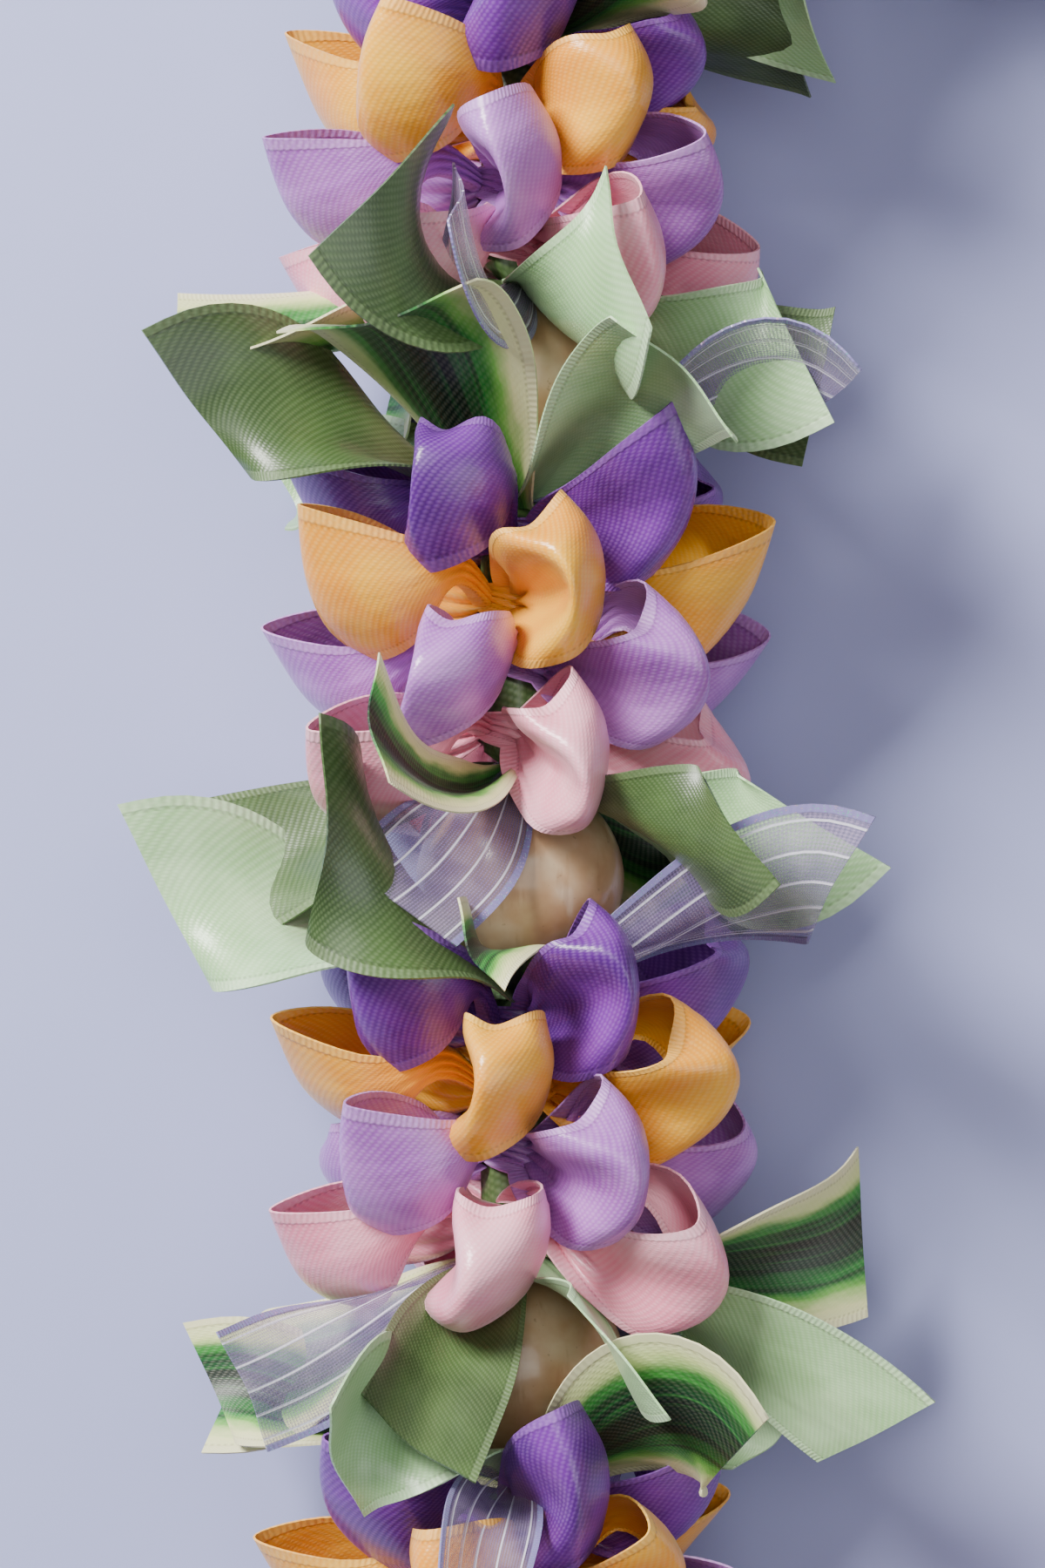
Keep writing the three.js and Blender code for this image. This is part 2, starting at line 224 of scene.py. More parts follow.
class Shader:
    """Adds nodes to a material or a node group and links them."""

    def __init__(self, tree: bpy.types.NodeTree) -> None:
        """Starts on an empty tree."""
        self.tree = tree
        tree.nodes.clear()

    def node(self, kind: str, inputs: dict[str | int, object] | None = None,
             **settings: object) -> Node:
        """Adds a node.

        Args:
            kind: the node's type name, without its ShaderNode prefix.
            inputs: values or sockets for its inputs, by name or number.
            settings: the node's own settings.

        Returns:
            The new node.
        """
        prefix = "" if kind.startswith(("NodeGroup", "ShaderNode")) else "ShaderNode"
        made = self.tree.nodes.new(prefix + kind)
        for name, value in settings.items():
            setattr(made, name, value)
        for key, value in (inputs or {}).items():
            self.feed(made.inputs[key], value)
        return made

    def feed(self, socket: Socket, value: object) -> None:
        """Sets a socket's value, a colour from its code, or links another socket to it."""
        if isinstance(value, Socket):
            self.tree.links.new(value, socket)
        elif isinstance(value, str):
            socket.default_value = (*hex_colour(value), 1)
        else:
            socket.default_value = value

    def math(self, operation: str, *values: object, clamp: bool = False) -> Socket:
        """Adds a Math node and returns its result."""
        made = self.node("Math", dict(enumerate(values)), operation=operation, use_clamp=clamp)
        return made.outputs[0]

    def times(self, first: Socket, second: object) -> Socket:
        """Multiplies two values and returns the result."""
        return self.math("MULTIPLY", first, second)

    def mix(self, factor: object, first: object, second: object, blend: str = "MIX") -> Socket:
        """Adds a colour Mix node and returns its result."""
        inputs = {0: factor, 6: first, 7: second}
        return self.node("Mix", inputs, data_type="RGBA", blend_type=blend).outputs[2]

    def ramp(self, factor: Socket, stops: Iterable[Stop]) -> Socket:
        """Adds a Color Ramp node and returns its colour."""
        made = self.node("ValToRGB", {0: factor})
        elements = made.color_ramp.elements
        for index, (place, code) in enumerate(stops):
            element = elements[index] if index < 2 else elements.new(place)
            element.position = place
            element.color = (*hex_colour(code), 1)
        return made.outputs[0]

    def step(self, value: object, low: float, high: float) -> Socket:
        """Adds a smooth step from 0 at low to 1 at high and returns it."""
        made = self.node("MapRange", {0: value, 1: low, 2: high}, interpolation_type="SMOOTHSTEP")
        return made.outputs[0]

    def noise(self, vector: Socket, scale: float, detail: float = 3.0) -> Socket:
        """Adds a Noise Texture and returns its factor."""
        return self.node("TexNoise", {"Vector": vector, "Scale": scale, "Detail": detail}).outputs[0]

    def stretched(self, vector: Socket, scale: Triple) -> Socket:
        """Adds a Mapping node that scales a pattern and returns its vector."""
        return self.node("Mapping", {"Vector": vector, "Scale": scale}).outputs[0]

    def ribbon(self) -> tuple[Socket, Socket, Socket]:
        """Returns the place on the ribbon, and how far it is along and across."""
        uv = self.node("UVMap", uv_map=UV_NAME).outputs[0]
        parts = self.node("SeparateXYZ", {0: uv}).outputs
        return uv, parts[0], parts[1]

    def place(self) -> Socket:
        """Returns the place in the model."""
        return self.node("TexCoord").outputs["Object"]

    def wave(self, value: Socket) -> Socket:
        """Adds a sine and returns it, brought to between 0 and 1."""
        return self.math("MULTIPLY_ADD", self.math("SINE", value), 0.5, 0.5)

    def inverse(self, mask: Socket) -> Socket:
        """Turns a mask round and returns it."""
        return self.math("SUBTRACT", 1.0, mask)

    def tint(self, mask: Socket, strength: float, colour: Socket, tone: str) -> Socket:
        """Mixes a tone into a colour, as strongly as a mask says, and returns it."""
        return self.mix(self.times(mask, strength), colour, tone)

    def creased(self, uv: Socket, threads: Socket) -> Socket:
        """Adds the soft creases of handled ribbon to the height of its threads and returns it."""
        crease = self.noise(self.stretched(uv, (0.9, 2.4, 1.0)), 2.2, 2.0)
        return self.math("MULTIPLY_ADD", crease, CREASE, threads)

    def surface(self, colour: Socket, roughness: object, weights: dict[str, object],
                bump: tuple[Socket, float, float] | None = None) -> Node:
        """Adds the surface's shader.

        Args:
            colour: its colour.
            roughness: its roughness.
            weights: its other inputs, by name.
            bump: the height of its relief, the strength, and the distance in metres.

        Returns:
            The shader node.
        """
        inputs = {"Base Color": colour, "Roughness": roughness, **weights}
        if bump:
            relief = dict(zip(("Height", "Strength", "Distance"), bump))
            inputs["Normal"] = self.node("Bump", relief).outputs[0]
        return self.node("BsdfPrincipled", inputs)


@dataclass(frozen=True)
class RibbonWeave:
    """The woven face of a satin ribbon with its stitched selvedges, as a shared node group."""

    thread: float = 0.4
    float_length: float = 1.1
    drift: float = 0.31
    selvedge: float = 1.3
    stitch: float = 0.8

    def group(self) -> bpy.types.NodeTree:
        """Builds the group once.

        Returns:
            The group, with outputs Height, Fleck, Selvedge and Hole.
        """
        tree = bpy.data.node_groups.get("ribbon_weave")
        if tree:
            return tree
        tree = bpy.data.node_groups.new("ribbon_weave", "ShaderNodeTree")
        for way, names in (("INPUT", ("Length", "Across", "Width")),
                           ("OUTPUT", ("Height", "Fleck", "Selvedge", "Hole"))):
            for name in names:
                tree.interface.new_socket(name, in_out=way, socket_type="NodeSocketFloat")
        shade = Shader(tree)
        given = shade.node("NodeGroupInput").outputs
        long = shade.times(given["Length"], given["Width"])
        wide = shade.times(given["Across"], given["Width"])
        row = shade.math("FLOOR", shade.math("DIVIDE", wide, self.thread))
        phase = shade.math("MULTIPLY_ADD", row, self.drift, shade.math("DIVIDE", long, self.float_length))
        bead = shade.wave(shade.times(phase, math.tau))
        rib = shade.math("ABSOLUTE", shade.math("SINE", shade.times(wide, math.pi / self.thread)))
        fleck = shade.times(bead, shade.math("MULTIPLY_ADD", rib, 0.6, 0.4))
        inside = shade.math("MINIMUM", given["Across"], shade.inverse(given["Across"]))
        edge = shade.times(inside, given["Width"])
        band = shade.inverse(shade.step(edge, self.selvedge - 0.2, self.selvedge + 0.1))
        stitch = shade.wave(shade.times(long, math.tau / self.stitch))
        ridge = shade.math("MULTIPLY_ADD", stitch, 0.8, 0.7)
        flat = shade.times(fleck, 0.45)
        height = shade.node("Mix", {0: band, 2: flat, 3: ridge}).outputs[0]
        near = shade.math("ABSOLUTE", shade.math("SUBTRACT", edge, self.selvedge + 0.12))
        hole = shade.times(shade.inverse(shade.step(near, 0.05, 0.3)), shade.inverse(stitch))
        shade.node("NodeGroupOutput", {"Height": height, "Fleck": fleck, "Selvedge": band, "Hole": hole})
        return tree

    def place(self, shade: Shader, width: float) -> bpy.types.NodeOutputs:
        """Places the group in a material, on the piece's own ribbon coordinates."""
        _, long, across = shade.ribbon()
        inputs = {"Length": long, "Across": across, "Width": width}
        return shade.node("Group", inputs, node_tree=self.group()).outputs


WEAVE = RibbonWeave()


@dataclass(frozen=True)
class Finish:
    """A finish with its own material, made once."""

    name: str

    def material(self) -> bpy.types.Material:
        """Returns the finish's material, made on the first call."""
        made = bpy.data.materials.get(self.name)
        if not made:
            made = bpy.data.materials.new(self.name)
            made.use_nodes = True
            shade = Shader(made.node_tree)
            surface = self.dress(shade)
            shade.node("OutputMaterial", {"Surface": surface.outputs[0]})
        return made

    def dress(self, shade: Shader) -> Node:
        """Builds the finish and returns its shader node."""
        raise NotImplementedError


@dataclass(frozen=True)
class Satin(Finish):
    """Single-faced satin ribbon in one colour."""

    colour: str = "ffffff"
    shadow: str = "808080"
    # The highlight colour: the sheen's tint, and the painted highlights mixed into the threads and
    # selvedges
    sheen_highlight: str = "ffffff"
    width: float = PETAL_WIDTH
    roughness: float = 0.34

    def dress(self, shade: Shader) -> Node:
        """Builds the satin: its threads, its slow change of tone and its selvedges, with painted highlights
        on the threads and selvedges and painted shade in the gaps between the selvedge stitches.
        """
        weave = WEAVE.place(shade, self.width)
        tone = shade.step(shade.noise(shade.place(), 90.0), 0.3, 0.75)
        cloth = shade.mix(tone, self.shadow, self.colour)
        # Painted highlight: the thread floats are lightened towards the highlight colour
        threads = shade.tint(weave["Fleck"], 0.2, cloth, self.sheen_highlight)
        # Painted highlight: the selvedge ridges are lightened towards the highlight colour
        edges = shade.tint(weave["Selvedge"], 0.16, threads, self.sheen_highlight)
        # Painted shade: the small gaps between the selvedge stitches are darkened
        stitch_gap_shade = shade.mix(1.0, cloth, (0.5, 0.45, 0.47, 1), "MULTIPLY")
        colour = shade.mix(shade.times(weave["Hole"], 0.55), edges, stitch_gap_shade)
        height = shade.creased(shade.ribbon()[0], weave["Height"])
        rough = shade.math("MULTIPLY_ADD", weave["Selvedge"], 0.15, self.roughness)
        return shade.surface(colour, rough, {
            "Sheen Weight": 0.12, "Sheen Roughness": 0.3, "Sheen Tint": self.sheen_highlight, "Coat Weight": 0.32,
            "Coat Roughness": 0.24, "Specular IOR Level": 0.6}, (height, 0.55, 0.00013))


@dataclass(frozen=True)
class LeafPrint(Finish):
    """Satin ribbon printed with long green streaks between cream edges."""

    stops: tuple[Stop, ...] = (
        (0.0, "e6e6b4"), (0.12, "dfe3a4"), (0.2, "74b84e"), (0.28, "1f7a2c"), (0.42, "07331a"),
        (0.56, "041b10"), (0.68, "0d5226"), (0.78, "3f9a3c"), (0.87, "cfdc92"), (1.0, "ece8bc"))

    def dress(self, shade: Shader) -> Node:
        """Builds the print, its streaks drawn out along the ribbon, with a painted highlight on its threads
        and painted shade between its selvedge stitches.
        """
        weave = WEAVE.place(shade, LEAF_WIDTH)
        uv, _, across = shade.ribbon()
        slow = shade.noise(shade.stretched(uv, (1.6, 5.0, 1.0)), 1.3)
        drift = shade.times(shade.math("SUBTRACT", slow, 0.5), 0.2)
        place = shade.math("ADD", across, drift)
        colour = shade.ramp(place, self.stops)
        fine = shade.noise(shade.stretched(uv, (0.3, 13.0, 1.0)), 1.5, 3.0)
        middle = shade.times(shade.step(place, 0.16, 0.34), shade.step(place, 0.88, 0.68))
        for far_end, strength, tone in ((0.62, 0.85, "03140b"), (0.3, 0.5, "3f9a3c")):
            streaks = shade.times(shade.step(fine, 0.46, far_end), middle)
            colour = shade.tint(streaks, strength, colour, tone)
        # Fleck lightens the thread floats as a painted highlight, and Hole darkens the gaps between the
        # selvedge stitches as painted shade
        for part, strength, tone in (("Fleck", 0.06, "f4f3d8"), ("Selvedge", 0.6, "dfdcb2"),
                                     ("Hole", 0.45, "8f8f60")):
            colour = shade.tint(weave[part], strength, colour, tone)
        height = shade.creased(uv, weave["Height"])
        return shade.surface(colour, 0.42, {
            "Sheen Weight": 0.08, "Sheen Roughness": 0.3, "Specular IOR Level": 0.45, "Coat Weight": 0.08,
            "Coat Roughness": 0.3}, (height, 0.5, 0.00012))


@dataclass(frozen=True)
class Organza(Finish):
    """Sheer ribbon with pinstripes and glittering edges."""

    mesh: float = 0.55
    stripes: float = 5.0

    def dress(self, shade: Shader) -> Node:
        """Builds the gauze, its stripes and its edges."""
        weave = WEAVE.place(shade, LEAF_WIDTH)
        uv, long, across = shade.ribbon()
        stripe_turn = shade.math("SINE", shade.times(across, math.pi * self.stripes))
        stripe = shade.step(shade.math("ABSOLUTE", stripe_turn), 0.985, 0.998)
        warp, weft = (shade.math("SINE", shade.times(way, LEAF_WIDTH * math.tau / self.mesh))
                      for way in (long, across))
        net = shade.times(shade.math("ADD", warp, weft), 0.12)
        glitter_place = shade.stretched(uv, (60.0, 60.0, 1.0))
        cells = shade.node("TexVoronoi", {"Vector": glitter_place, "Scale": 1.0})
        glint = shade.step(cells.outputs["Distance"], 0.34, 0.18)
        edge = weave["Selvedge"]
        hue = shade.ramp(shade.noise(glitter_place, 0.3), [
            (0.3, "8fb6e8"), (0.45, "9fe6e0"), (0.6, "e9b8e6"),
            (0.72, "f4f2ff")])
        haze = shade.step(shade.noise(uv, 3.0), 0.35, 0.7)
        veil = shade.mix(haze, "8d7cab", "b3a3c6")
        striped = shade.mix(stripe, veil, "e6e4f4")
        rim = shade.mix(glint, "8f86bd", hue)
        colour = shade.mix(edge, striped, rim)
        lines, rims = shade.times(stripe, 0.85), shade.times(edge, 0.92)
        solid = shade.math("MAXIMUM", lines, rims)
        alpha = shade.math("MAXIMUM", shade.math("ADD", net, 0.36), solid, clamp=True)
        metal = shade.times(shade.times(edge, glint), 0.6)
        return shade.surface(colour, 0.34, {
            "Alpha": alpha, "Metallic": metal, "Sheen Weight": 0.3, "Sheen Roughness": 0.3,
            "Specular IOR Level": 0.5}, (weave["Height"], 0.4, 0.00016))


@dataclass(frozen=True)
class NutShell(Finish):
    """Polished pale kukui shell, clouded and faintly streaked."""

    def dress(self, shade: Shader) -> Node:
        """Builds the shell."""
        place = shade.place()
        cloud = shade.noise(place, 110.0, 4.0)
        base = shade.ramp(cloud, [
            (0.3, "b98a62"), (0.5, "cda680"), (0.72, "e0c9a8")])
        veins = shade.noise(shade.stretched(shade.ribbon()[0], (14.0, 1.5, 1.0)), 2.2, 4.0)
        streaked = shade.tint(shade.step(veins, 0.56, 0.68), 0.4, base, "a4734b")
        speck = shade.step(shade.noise(place, 900.0, 2.0), 0.68, 0.76)
        colour = shade.tint(speck, 0.35, streaked, "7d5334")
        height = shade.math("ADD", shade.times(veins, 0.5), cloud)
        return shade.surface(colour, 0.3, {
            "Coat Weight": 0.45, "Coat Roughness": 0.12, "Specular IOR Level": 0.5}, (height, 0.25, 0.0004))


@dataclass(frozen=True)
class TwistedCord(Finish):
    """Plain cotton cord with its twist."""

    def dress(self, shade: Shader) -> Node:
        """Builds the twist from the tube's own coordinates."""
        _, long, across = shade.ribbon()
        turn = shade.math("ADD", shade.times(long, 3.2), shade.times(across, 3.0))
        ply = shade.math("ABSOLUTE", shade.math("SINE", shade.times(turn, math.pi)))
        # Painted shade: the grooves between the plies are darker, and their crests lighter
        colour = shade.mix(ply, "b9ad93", "efe9da")
        height = shade.math("MULTIPLY_ADD", shade.noise(shade.place(), 2500.0), 0.3, ply)
        return shade.surface(colour, 0.85, {"Sheen Weight": 0.3}, (height, 0.8, 0.0003))


@dataclass(frozen=True)
class TableTop(Finish):
    """The plain pale surface that the lei lies on."""

    def dress(self, shade: Shader) -> Node:
        """Builds the matt surface."""
        grain = shade.noise(shade.place(), 60.0)
        colour = shade.mix(grain, "a6addd", "aab1df")
        return shade.surface(colour, 0.8, {})


ROW_FINISH = {
    Row.PURPLE: Satin("purple_ribbon", "7a2ea4", "52187a", "c48fea"),
    Row.GOLD: Satin("gold_ribbon", "ffbb28", "f79a14", "ffe998"),
    Row.LILAC: Satin("lilac_ribbon", "c07ed6", "9a50b4", "eed0fb"),
    Row.PINK: Satin("pink_ribbon", "feb4c6", "f58ca8", "ffeef2"),
}
CLOTH_FINISH = {
    Cloth.MOSS: Satin("moss_ribbon", "4a6634", "334a24", "94ab7a", LEAF_WIDTH, 0.4),
    Cloth.PALE: Satin("pale_green_ribbon", "b6dea6", "96c684", "f0ffe8", LEAF_WIDTH, 0.36),
    Cloth.PRINT: LeafPrint("leaf_print_ribbon"),
    Cloth.ORGANZA: Organza("organza_ribbon"),
}


def ribbon_map(mesh: Mesh) -> bmesh.types.BMLayerItem:
    """Returns the map that holds the place on the ribbon, made on the first call."""
    maps = mesh.loops.layers.uv
    return maps.get(UV_NAME) or maps.new(UV_NAME)


def add_grid(mesh: Mesh, steps: int, across: int, ribbon: Callable[[float, float], Pair],
             shape: Fold) -> None:
    """Adds a grid to a mesh, with its place on the ribbon, and shapes it.

    Args:
        mesh: the mesh that takes it.
        steps: how many steps the grid has along.
        across: how many steps it has across.
        ribbon: gives a point's place on the ribbon from how far it is along and across, each from 0 to 1.
        shape: gives its place in the model from the same.
    """
    uv = ribbon_map(mesh)
    made = bmesh.ops.create_grid(mesh, x_segments=steps, y_segments=across, size=0.5)["verts"]
    flat = {vert: (vert.co.x + 0.5, vert.co.y + 0.5) for vert in made}
    for face in {face for vert in made for face in vert.link_faces}:
        for loop in face.loops:
            loop[uv].uv = ribbon(*flat[loop.vert])
    for vert in made:
        vert.co = shape(*flat[vert])


def join_points(mesh: Mesh) -> None:
    """Joins the points of a mesh that lie on one another."""
    bmesh.ops.remove_doubles(mesh, verts=mesh.verts, dist=1e-6)


def round_strand(angle: float, reach: float, y: float) -> Vector:
    """Returns the strand point at an angle round the strand and a reach from it."""
    return Vector((math.sin(angle) * reach, y, math.cos(angle) * reach))


def add_object(name: str, data: bpy.types.ID) -> bpy.types.Object:
    """Makes an object, puts it in the scene and returns it."""
    made = bpy.data.objects.new(name, data)
    bpy.context.scene.collection.objects.link(made)
    return made


def piece_from(mesh: Mesh, name: str, finish: Finish) -> bpy.types.Object:
    """Makes a finished piece that rides on the lei.

    Args:
        mesh: the piece's mesh, in metres in the model's frame. It is freed.
        name: the piece's name.
        finish: its finish.

    Returns:
        The new object.
    """
    data = bpy.data.meshes.new(name)
    for face in mesh.faces:
        face.smooth = True
    for edge in mesh.edges:
        edge.smooth = not edge.is_boundary
    mesh.to_mesh(data)
    mesh.free()
    data.materials.append(finish.material())
    made = add_object(name, data)
    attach(made, "root")
    return made


def thicken(piece: bpy.types.Object) -> None:
    """Rounds a ribbon once and gives it the thickness of cloth."""
    rounding = piece.modifiers.new("rounding", "SUBSURF")
    rounding.levels = rounding.render_levels = 1
    rounding.boundary_smooth = "PRESERVE_CORNERS"
    body = piece.modifiers.new("cloth", "SOLIDIFY")
    body.thickness = CLOTH * MM
    body.offset = 0


def add_ribbon(mesh: Mesh, steps: int, across: int, fold: Fold, width: float) -> float:
    """Adds a flat ribbon to a mesh as a grid, folded.

    Args:
        mesh: the mesh that takes it.
        steps: how many steps it has along.
        across: how many steps it has across.
        fold: gives the place of a point from how far it is along and across, each from 0 to 1.
        width: the ribbon's width in millimetres.

    Returns:
        The ribbon's mean length, in millimetres.
    """
    lines = [[fold(i / steps, j / across) for j in range(across + 1)] for i in range(steps + 1)]
    run = [0.0]
    for before, after in zip(lines, lines[1:]):
        stretch = sum((b - a).length for a, b in zip(before, after)) / (across + 1)
        run.append(run[-1] + stretch / MM)
    add_grid(mesh, steps, across, lambda u, v: (run[round(u * steps)] / width, v), fold)
    return run[-1]


@dataclass(frozen=True)
class Petal:
    """How one petal is set. The pinch of its mouth and the dent of its near side go from 0 to 1."""

    turn: float
    far: float
    opened: float
    roll: float
    lean: float
    pinch: float
    dent: float


@dataclass
class PetalRing:
    """A length of ribbon folded into open petals all round the strand, in one row of a bloom."""

    row: Row
    along: float
    lean: float
    turns: tuple[float, ...]
    petal_steps: int = 20
    bridge_steps: int = 3
    across: int = 8
    root: float = 6.0
    drawn_reach: float = 35.5
    # The least, and how much a draw adds to it
    reach: Pair = (33.5, 3.0)
    opened: Pair = (0.85, 0.25)
    pinch: Pair = (-0.5, 2.0)
    # The degrees between the two ends of a draw
    twist: float = 8.0
    nod: float = 4.0
    fold_twist: float = 22.0
    gathers: float = 2.8
    gathers_end: float = 17.0
    turn_end: float = 20.0
    front_pinch: float = 0.35
    skyward: float = 42.0
    near_wall: Pair = (5.4, 4.6)
    roundness: float = 1.14
    # Five lines along the ribbon, from the hem to the mouth, each from the far root over the tip to the
    # near root: [out, along the strand, sideways]. The near side is drawn as deep as it can be dented,
    # and near_wall is where two of its points lie when it isn't.
    lines: tuple[tuple[Triple, ...], ...] = (
        ((6, -0.6, -1.4), (15.4, 3.8, -5.8), (18.6, -3.4, -7.0), (21.4, -10.4, -1.4), (20.0, -10.2, 5.2),
         (13.5, -7.2, 5.0), (6, -2.4, 1.4)),
        ((6, 0.2, -1.6), (15.2, 5.2, -6.0), (22.2, -0.4, -7.6), (27.6, -7.4, -1.0), (24.6, -7.2, 2.2),
         (15.0, -4.8, 2.0), (6, -1.2, 1.0)),
        ((6, 1.0, -1.6), (15.0, 6.6, -5.8), (24.8, 3.2, -7.4), (32.2, -2.6, -0.6), (25.4, -1.8, -4.4),
         (15.5, -1.0, -1.6), (6, 0, 0.8)),
        ((6, 1.8, -1.4), (14.6, 7.8, -5.0), (25.8, 7.0, -6.4), (35.0, 3.4, 0.2), (27.0, 4.8, 3.2),
         (15.5, 2.8, 2.4), (6, 1.2, 1.0)),
        ((6, 2.6, -1.0), (14.2, 9.0, -3.8), (25.6, 11.4, -4.8), (37.4, 10.6, 0.4), (26.6, 8.4, 4.6),
         (15.0, 5.8, 4.2), (6, 2.4, 1.2)),
    )
    # Where the tip's points move to when the mouth is pinched in
    pinched: tuple[Triple, ...] = (
        (22.4, -10.6, -1.4), (29.4, -7.2, -1.0), (33.4, -1.6, -1.0), (32.4, 4.0, -0.4), (26.0, 7.4, 0.4))

    def ribbon_point(self, petal: Petal, u: float, v: float) -> Vector:
        """Returns a point of a petal before it is turned.

        Args:
            petal: how the petal is set.
            u: how far along the ribbon, from the far root over the tip to the near one.
            v: how far across it, from the hem to the mouth.

        Returns:
            The point as [out, along the strand, sideways].
        """
        rails = []
        for line, tip in zip(self.lines, self.pinched):
            points = [Vector(p) for p in line]
            points[3] = points[3].lerp(Vector(tip), petal.pinch)
            for place, wall in zip((4, 5), self.near_wall):
                points[place].z += (wall - points[place].z) * (1 - petal.dent)
            rails.append(spline(points, u))
        place = spline(rails, v)
        fading = smoothstep(place.x, self.gathers_end, self.root)
        place.z += self.gathers * math.cos(self.across * math.pi * v) * fading
        return place

    def petals(self, draw: Draw, s: float) -> list[Petal]:
        """Sets each petal, with the same draw as the solids.

        Args:
            draw: the bloom's draw.
            s: the bloom's middle along the cord.

        Returns:
            The ring's petals.
        """
        made = []
        fold_draw = seeded_draw(int(s * 7 + self.along * 31) + 977)
        for turn in self.turns:
            inward = math.sin(math.radians(turn))
            front = max(0.0, math.cos(math.radians(turn)))
            reach = self.reach[0] + self.reach[1] * draw()
            opened = self.opened[0] + self.opened[1] * draw()
            roll = math.radians(self.twist * (draw() - 0.5))
            lean = math.radians(self.lean + self.nod * (draw() - 0.5))
            far = STRAND.pressed(reach, turn, s + self.along) / self.drawn_reach
            pinch = self.pinch[0] + self.pinch[1] * fold_draw() + self.front_pinch * front
            pinch = min(1.0, max(0.0, pinch))
            roll += math.radians(self.skyward * inward + self.fold_twist * (fold_draw() - 0.5))
            dent = fold_draw() * front
            made.append(Petal(turn, far, opened, roll, lean, pinch, dent))
        return made

    def place(self, petal: Petal, u: float, v: float) -> Vector:
        """Returns a point of a petal, turned to its place round the strand."""
        out, side = directions(petal.turn)
        r, a, t = self.ribbon_point(petal, u, v)
        outward = (r - self.root) * petal.far
        turned = petal.roll * smoothstep(r, self.root, self.turn_end)
        wide = t * petal.opened * self.roundness
        across = a * math.sin(turned) + wide * math.cos(turned)
        place = out * (self.root + outward * math.cos(petal.lean)) + side * across
        place.y = a * math.cos(turned) - wide * math.sin(turned) + outward * math.sin(petal.lean)
        place.z = STRAND.rested(place.z)
        return place

    def build(self, name: str, s: float, draw: Draw, slot: str) -> bpy.types.Object:
        """Folds the ribbon round the strand and dresses it.

        Args:
            name: the piece's name.
            s: the bloom's middle along the cord.
            draw: the bloom's draw.
            slot: not used.

        Returns:
            The finished piece.
        """
        petals = sorted(self.petals(draw, s), key=lambda petal: -petal.turn)
        each = self.petal_steps + self.bridge_steps
        total = each * len(petals)

        def fold(u: float, v: float) -> Vector:
            """Places a point of the ring's whole ribbon."""
            step = u * total
            number = min(int(step / each + 1e-6), len(petals) - 1)
            local = step - number * each
            here, after = petals[number], petals[(number + 1) % len(petals)]
            if local <= self.petal_steps:
                point = self.place(here, self.spread(local / self.petal_steps), v)
            else:
                t = (local - self.petal_steps) / self.bridge_steps
                point = self.round_core(self.place(here, 1, v), self.place(after, 0, v), t)
            return STRAND.carry(s + self.along, point)

        mesh = bmesh.new()
        length = add_ribbon(mesh, total, self.across, fold, PETAL_WIDTH)
        join_points(mesh)
        piece = piece_from(mesh, name, ROW_FINISH[self.row])
        thicken(piece)
        return piece

    @staticmethod
    def spread(t: float) -> float:
        """Crowds the steps towards the petal's tip."""
        return t - 0.11 * math.sin(2 * math.tau * t) / 2 - 0.06 * math.sin(math.tau * t)

    @staticmethod
    def round_core(start: Vector, end: Vector, t: float) -> Vector:
        """Runs from one petal's root to the next round the core."""
        first, last = math.atan2(start.x, start.z), math.atan2(end.x, end.z)
        if last > first:
            last -= math.tau
        angle = first + (last - first) * t
        reach = math.hypot(start.x, start.z) * (1 - t) + math.hypot(end.x, end.z) * t
        return round_strand(angle, reach, start.y + (end.y - start.y) * t)


